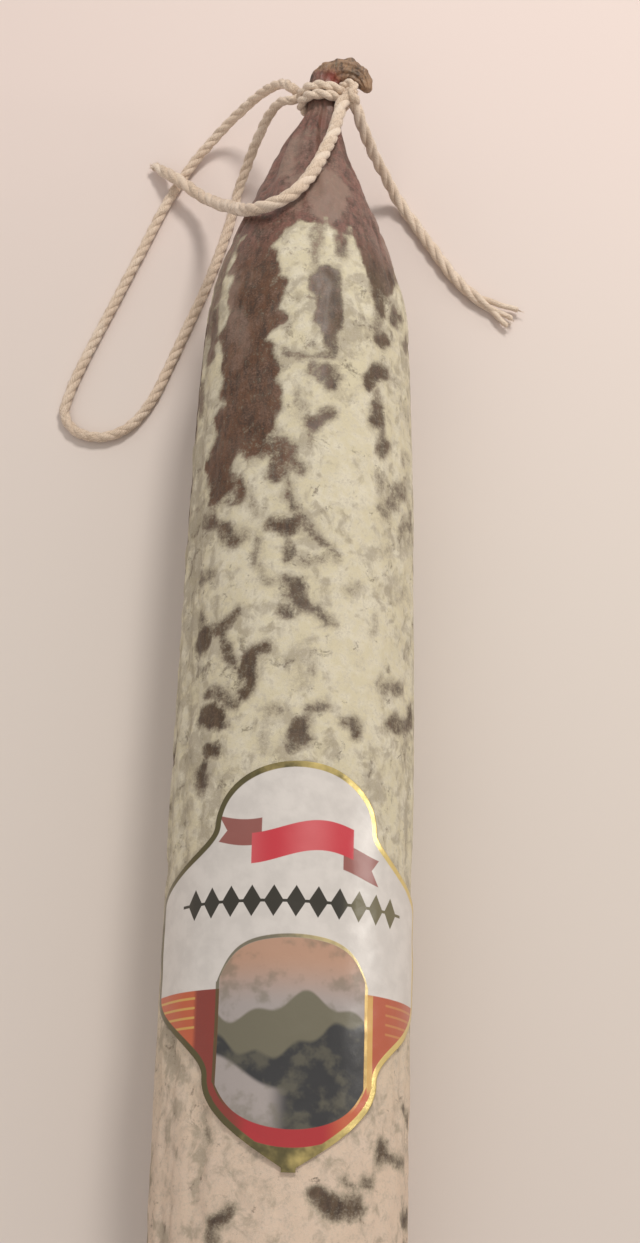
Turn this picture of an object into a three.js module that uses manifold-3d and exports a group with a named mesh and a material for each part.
// A whole dry-cured sausage lying on its side, long axis along Y, tied end at +Y.
// Millimetres, +Z up. The origin is on the resting surface, under the middle of the sausage.
import * as THREE from 'three';
import { mergeVertices } from 'three/addons/utils/BufferGeometryUtils.js';
import Module from 'manifold-3d';

const { clamp, degToRad, lerp, smoothstep } = THREE.MathUtils;

// Sausage
const bodyRadius = 26.2;
const restDepth = 0.8; // the belly is pressed flat by this much where it lies
const axisHeight = bodyRadius - restDepth;
const halfLength = 176;
const neckRadius = 4.1; // gathered casing under the string, at both ends
const upperNeck = 160; // the shoulder closes here
const shoulderLength = 64;
const shoulderRound = 0.6; // 1 is a plain quarter wave, 0 an S
const slimming = 2; // how much thinner the body is where the shoulder starts
const slimmingStart = 5;
const lowerNeck = -164;
const lowerLength = 69; // the other end is rounder and closes in about the same length
const stubRadius = 5; // the tied-off end below the lower string
const stubRound = 3;
const stubStart = -170;
const neckLean = 2.4; // the neck leans this far to the right
const leanStart = 142;
const leanBend = 1.5; // above 1 the lean comes on slowly
const foldStart = 167.6; // the casing above the string folds over to the right
const foldRadius = 5.3;
const foldTurn = degToRad(175);
const foldTip = 0.6;
const foldFullness = 0.7; // below 1 the fold stays thick for longer before it narrows to its tip
const bodySides = 48;
const bodyRings = 48;
const foldRings = 12;
const stubRings = 3;
const stubEdge = Math.PI / 3; // how far round its end the stub is rounded

// String
const loopDiameter = 2.6;
const shortTailDiameter = 3.2; // the cut tails have opened up a little
const frayedTailDiameter = 3.0;
const cordSides = 8;
const wrapSegments = 20;
const knotSegments = 10;
const knotPull = 0.52; // share of the knot's size that each of its turns is thick
const knotHeart = 0.7; // and the share that its filled middle reaches
const knotRoll = degToRad(52);
const knotPitch = degToRad(69);
const knotShift = [0.3, -0.4, 0.2];
const touchGap = 0.3;
const loopRest = 1.4; // height of each cord's middle where it lies on the surface
const tailRest = 1.6;

// Label: a crown that flares to a straight band, then a waist that closes to a blunt point.
// Places along Y, and half widths in degrees round the sausage.
const labelTop = -11;
const crownFoot = -24;
const bandTop = -38;
const bandFoot = -57;
const waist = -74;
const labelPoint = -92;
const crownWidth = 38;
const bandWidth = 76;
const waistWidth = 40;
const bluntWidth = 3;
const labelThickness = 0.4;
const labelTurn = degToRad(4.5); // stuck on slightly off the top
const labelColumns = 20;
const labelRows = 36;

const wasm = await Module();
wasm.setup();

function solidOf(geometry) {
  const bare = geometry.index ? geometry.clone() : geometry;
  bare.deleteAttribute('normal');
  bare.deleteAttribute('uv');
  const merged = mergeVertices(bare, 1e-4);
  const vertProperties = new Float32Array(merged.attributes.position.array);
  const triVerts = new Uint32Array(merged.index.array);
  return new wasm.Manifold(new wasm.Mesh({ numProp: 3, vertProperties, triVerts }));
}

function geometryOf(solid) {
  const mesh = solid.getMesh();
  const geometry = new THREE.BufferGeometry();
  geometry.setAttribute('position', new THREE.BufferAttribute(mesh.vertProperties, 3));
  geometry.setIndex(new THREE.BufferAttribute(mesh.triVerts, 1));
  geometry.computeVertexNormals();
  return geometry;
}

function joined(geometries) {
  const solids = geometries.map(solidOf);
  return geometryOf(solids.reduce((whole, solid) => whole.add(solid)));
}

// A closed skin over rings of equally many points, with each end filled from its middle.
function loft(rings) {
  const count = rings[0].length;
  const positions = rings.flat().flatMap((p) => [p.x, p.y, p.z]);
  const indices = [];
  for (let i = 0; i + 1 < rings.length; i++) {
    for (let j = 0; j < count; j++) {
      const k = (j + 1) % count;
      const [a, b, c, d] = [i * count + j, i * count + k, (i + 1) * count + j, (i + 1) * count + k];
      indices.push(a, c, b, b, c, d);
    }
  }
  for (const end of [0, rings.length - 1]) {
    const middle = new THREE.Vector3();
    rings[end].forEach((p) => middle.addScaledVector(p, 1 / count));
    const centre = positions.length / 3;
    positions.push(middle.x, middle.y, middle.z);
    for (let j = 0; j < count; j++) {
      const [a, b] = [end * count + j, end * count + ((j + 1) % count)];
      if (end === 0) indices.push(centre, a, b);
      else indices.push(centre, b, a);
    }
  }
  const geometry = new THREE.BufferGeometry();
  geometry.setAttribute('position', new THREE.Float32BufferAttribute(positions, 3));
  geometry.setIndex(indices);
  geometry.computeVertexNormals();
  return geometry;
}

// Radius of the stuffed part: an S-shaped shoulder above, a rounder end below, slimmer towards the top.
function radiusAt(y) {
  const slim = clamp((y - slimmingStart) / (upperNeck - shoulderLength - slimmingStart), 0, 1);
  const up = clamp((upperNeck - y) / shoulderLength, 0, 1);
  const down = clamp((y - lowerNeck) / lowerLength, 0, 1);
  const shoulder = lerp(smoothstep(up, 0, 1), Math.sin((up * Math.PI) / 2), shoulderRound);
  const lowerEnd = 1 - (1 - down) ** 3;
  return neckRadius + (bodyRadius - slimming * slim ** 2 - neckRadius) * shoulder * lowerEnd;
}

// One ring of the casing, square to its heading and pressed flat where it would pass the surface.
function casingRing(x, y, radius, heading = 0) {
  const ring = [];
  for (let j = 0; j < bodySides; j++) {
    const angle = (2 * Math.PI * (j + 0.5)) / bodySides;
    const across = radius * Math.cos(angle);
    const height = Math.max(0, axisHeight + radius * Math.sin(angle));
    ring.push(new THREE.Vector3(x + across * Math.cos(heading), y - across * Math.sin(heading), height));
  }
  return ring;
}

// Stuffed casing from the lower stub to the folded-over tail above the string.
function casingGeometry() {
  const rings = [];
  for (let i = stubRings; i >= 0; i--) {
    const angle = (stubEdge * i) / stubRings;
    const drop = (stubRound * Math.sin(angle)) / Math.sin(stubEdge);
    rings.push(casingRing(0, -halfLength + stubRound - drop, stubRadius * Math.cos(angle)));
  }
  rings.push(casingRing(0, stubStart, neckRadius));
  for (let i = 0; i <= bodyRings; i++) {
    const share = (1 - Math.cos((Math.PI * i) / bodyRings)) / 2;
    const y = lerp(lowerNeck, upperNeck, share);
    const lean = clamp((y - leanStart) / (upperNeck - leanStart), 0, 1) ** leanBend;
    rings.push(casingRing(neckLean * lean, y, radiusAt(y)));
  }
  for (let i = 0; i <= foldRings; i++) {
    const turn = (foldTurn * i) / foldRings;
    const x = neckLean + foldRadius * (1 - Math.cos(turn));
    const radius = foldTip + (neckRadius - foldTip) * Math.cos(turn / 2) ** foldFullness;
    rings.push(casingRing(x, foldStart + foldRadius * Math.sin(turn), radius, turn));
  }
  return loft(rings);
}

// One turn of string lying in a plane across the casing.
function wrap(x, y) {
  const turnRadius = neckRadius + touchGap + loopDiameter / 2;
  const turn = new THREE.TorusGeometry(turnRadius, loopDiameter / 2, cordSides, wrapSegments);
  return turn.rotateX(Math.PI / 2).translate(x, y, axisHeight);
}

// A small hard knot: two short turns of string pulled through each other.
function knot(x, y, z, size) {
  const thickness = knotPull * size;
  const first = new THREE.TorusGeometry(size - thickness, thickness, cordSides, knotSegments);
  const second = first.clone();
  first.rotateY(knotRoll).translate(x, y, z);
  second.rotateX(knotPitch).translate(...knotShift).translate(x, y, z);
  const heart = new THREE.SphereGeometry(knotHeart * size, cordSides, 6).translate(x, y, z);
  return [first, second, heart];
}

function cutEnd(from, to) {
  const path = new THREE.LineCurve3(new THREE.Vector3(...from), new THREE.Vector3(...to));
  return new THREE.ExtrudeGeometry(cordSection(loopDiameter), { steps: 1, extrudePath: path });
}

function cordSection(diameter) {
  const corners = [];
  for (let i = 0; i < cordSides; i++) {
    const angle = (2 * Math.PI * (i + 0.5)) / cordSides;
    corners.push(new THREE.Vector2(Math.cos(angle), Math.sin(angle)).multiplyScalar(diameter / 2));
  }
  return new THREE.Shape(corners);
}

function cordGeometry(route, diameter, steps) {
  const path = new THREE.CatmullRomCurve3(route.map((point) => new THREE.Vector3(...point)));
  return new THREE.ExtrudeGeometry(cordSection(diameter), { steps, extrudePath: path });
}

// Hanging loop: out of the left of the tie, down to the surface, round, and back to the tie.
const loopRoute = [
  [-5.5, 169, 24.5], [-8, 172, 22], [-13, 173.5, 16], [-20, 171.5, 8.5],
  [-26, 167, 4], [-31, 161, 2], [-34, 156, loopRest], [-37, 150, loopRest],
  [-43, 135, loopRest], [-49, 120, loopRest], [-55, 105, loopRest], [-58, 96, loopRest],
  [-59, 90, loopRest], [-56, 85.5, loopRest], [-51, 84, loopRest], [-46, 85, loopRest],
  [-42, 88, loopRest], [-38, 94, loopRest], [-34, 104, loopRest], [-30, 115, loopRest],
  [-26, 126, loopRest], [-23, 136, loopRest], [-20.5, 146, loopRest], [-19, 153, 2.5],
  [-17, 158, 6], [-14, 163, 12], [-11, 166, 18], [-8, 166.5, 22.5], [-5.5, 165.5, 24.5],
];

// Short cut tail: from the knot over the shoulder of the sausage and down across the loop.
const shortTailRoute = [
  [7, 161, 30.5], [6, 156, 31.5], [5, 150, 34], [3.5, 144, 37],
  [1.5, 137, 40.5], [-1, 131, 43], [-4, 126.5, 44.5], [-8, 124, 44.5],
  [-12, 124, 42], [-15, 126, 38], [-17.5, 130, 32], [-20, 135, 25],
  [-22, 140, 17], [-24.5, 145, 10.5], [-28, 149, 6.5], [-32, 152.5, 5.5],
  [-35, 155, 5], [-38, 158, 3], [-41, 160.5, 1.8],
];

// Longer cut tail: from the knot down to the surface and out to the right.
const frayedTailRoute = [
  [10.5, 161, 28], [11.5, 159.5, 25], [13, 158, 21], [14.5, 157, 16.5],
  [16.5, 156, 11.5], [18.5, 154.5, 7.5], [20.5, 152.5, 4], [23, 149.5, 2],
  [25.5, 146, tailRest], [28, 142, tailRest], [31, 137.5, tailRest], [34, 133, tailRest],
  [37, 129, tailRest], [41, 125, tailRest], [45.5, 122, tailRest], [50.5, 119, tailRest],
];

// Half of the label's width at each y, in degrees.
function labelHalfWidth(y) {
  const arch = clamp((y - crownFoot) / (labelTop - crownFoot), 0, 1);
  const point = clamp((waist - y) / (waist - labelPoint), 0, 1);
  const above = lerp(bandWidth, crownWidth, smoothstep(y, bandTop, crownFoot)) * Math.sqrt(1 - arch ** 2);
  const below = lerp(waistWidth, bandWidth, smoothstep(y, waist, bandFoot)) * Math.cos((Math.PI / 2) * point);
  return Math.max(bluntWidth, Math.min(above, below));
}

function labelGeometry() {
  const inner = bodyRadius + touchGap;
  const rings = [];
  for (let i = 0; i <= labelRows; i++) {
    const share = (1 - Math.cos((Math.PI * i) / labelRows)) / 2; // closer together at both ends
    const y = lerp(labelTop, labelPoint, share);
    const half = degToRad(labelHalfWidth(y));
    const onArc = (j, radius) => {
      const angle = labelTurn + half * ((2 * j) / labelColumns - 1);
      return new THREE.Vector3(radius * Math.sin(angle), y, axisHeight + radius * Math.cos(angle));
    };
    const ring = [];
    for (let j = 0; j <= labelColumns; j++) ring.push(onArc(j, inner + labelThickness));
    for (let j = labelColumns; j >= 0; j--) ring.push(onArc(j, inner));
    rings.push(ring);
  }
  return loft(rings);
}

const casingMaterial = new THREE.MeshStandardMaterial({ color: 0xcfc5ae, roughness: 0.85, metalness: 0 });
const stringMaterial = new THREE.MeshStandardMaterial({ color: 0xdcc9a8, roughness: 0.9, metalness: 0 });
const labelMaterial = new THREE.MeshStandardMaterial({ color: 0xe6e2dc, roughness: 0.3, metalness: 0 });

const sausage = new THREE.Group();

function place(name, geometry, material) {
  const mesh = new THREE.Mesh(geometry, material);
  mesh.name = name;
  sausage.add(mesh);
}

place('sausage', casingGeometry(), casingMaterial);

// Two turns round the neck, and the knot on the upper right from which both tails come.
const neckTurns = [163, 166].map((y) => wrap(neckLean, y));
const neckKnot = [9, 163.5, axisHeight + 4];
place('neck_tie', joined([...neckTurns, ...knot(...neckKnot, 2.6)]), stringMaterial);

// Two turns round the lower stub, with a knot below and two short trimmed ends.
const lowerTurns = [-165.8, -168.3].map((y) => wrap(0, y));
const lowerKnot = [0, -167, axisHeight - 7.4];
const lowerEnds = [[-4.6, -3.5, -1.6], [4.2, -4.2, -1]].map((offset) => {
  return cutEnd(lowerKnot, offset.map((step, k) => lowerKnot[k] + step));
});
place('lower_tie', joined([...lowerTurns, ...knot(...lowerKnot, 2.4), ...lowerEnds]), stringMaterial);

place('string_loop', cordGeometry(loopRoute, loopDiameter, 44), stringMaterial);
place('string_tail_short', cordGeometry(shortTailRoute, shortTailDiameter, 24), stringMaterial);
place('string_tail_frayed', cordGeometry(frayedTailRoute, frayedTailDiameter, 16), stringMaterial);

place('label', labelGeometry(), labelMaterial);

export default sausage;
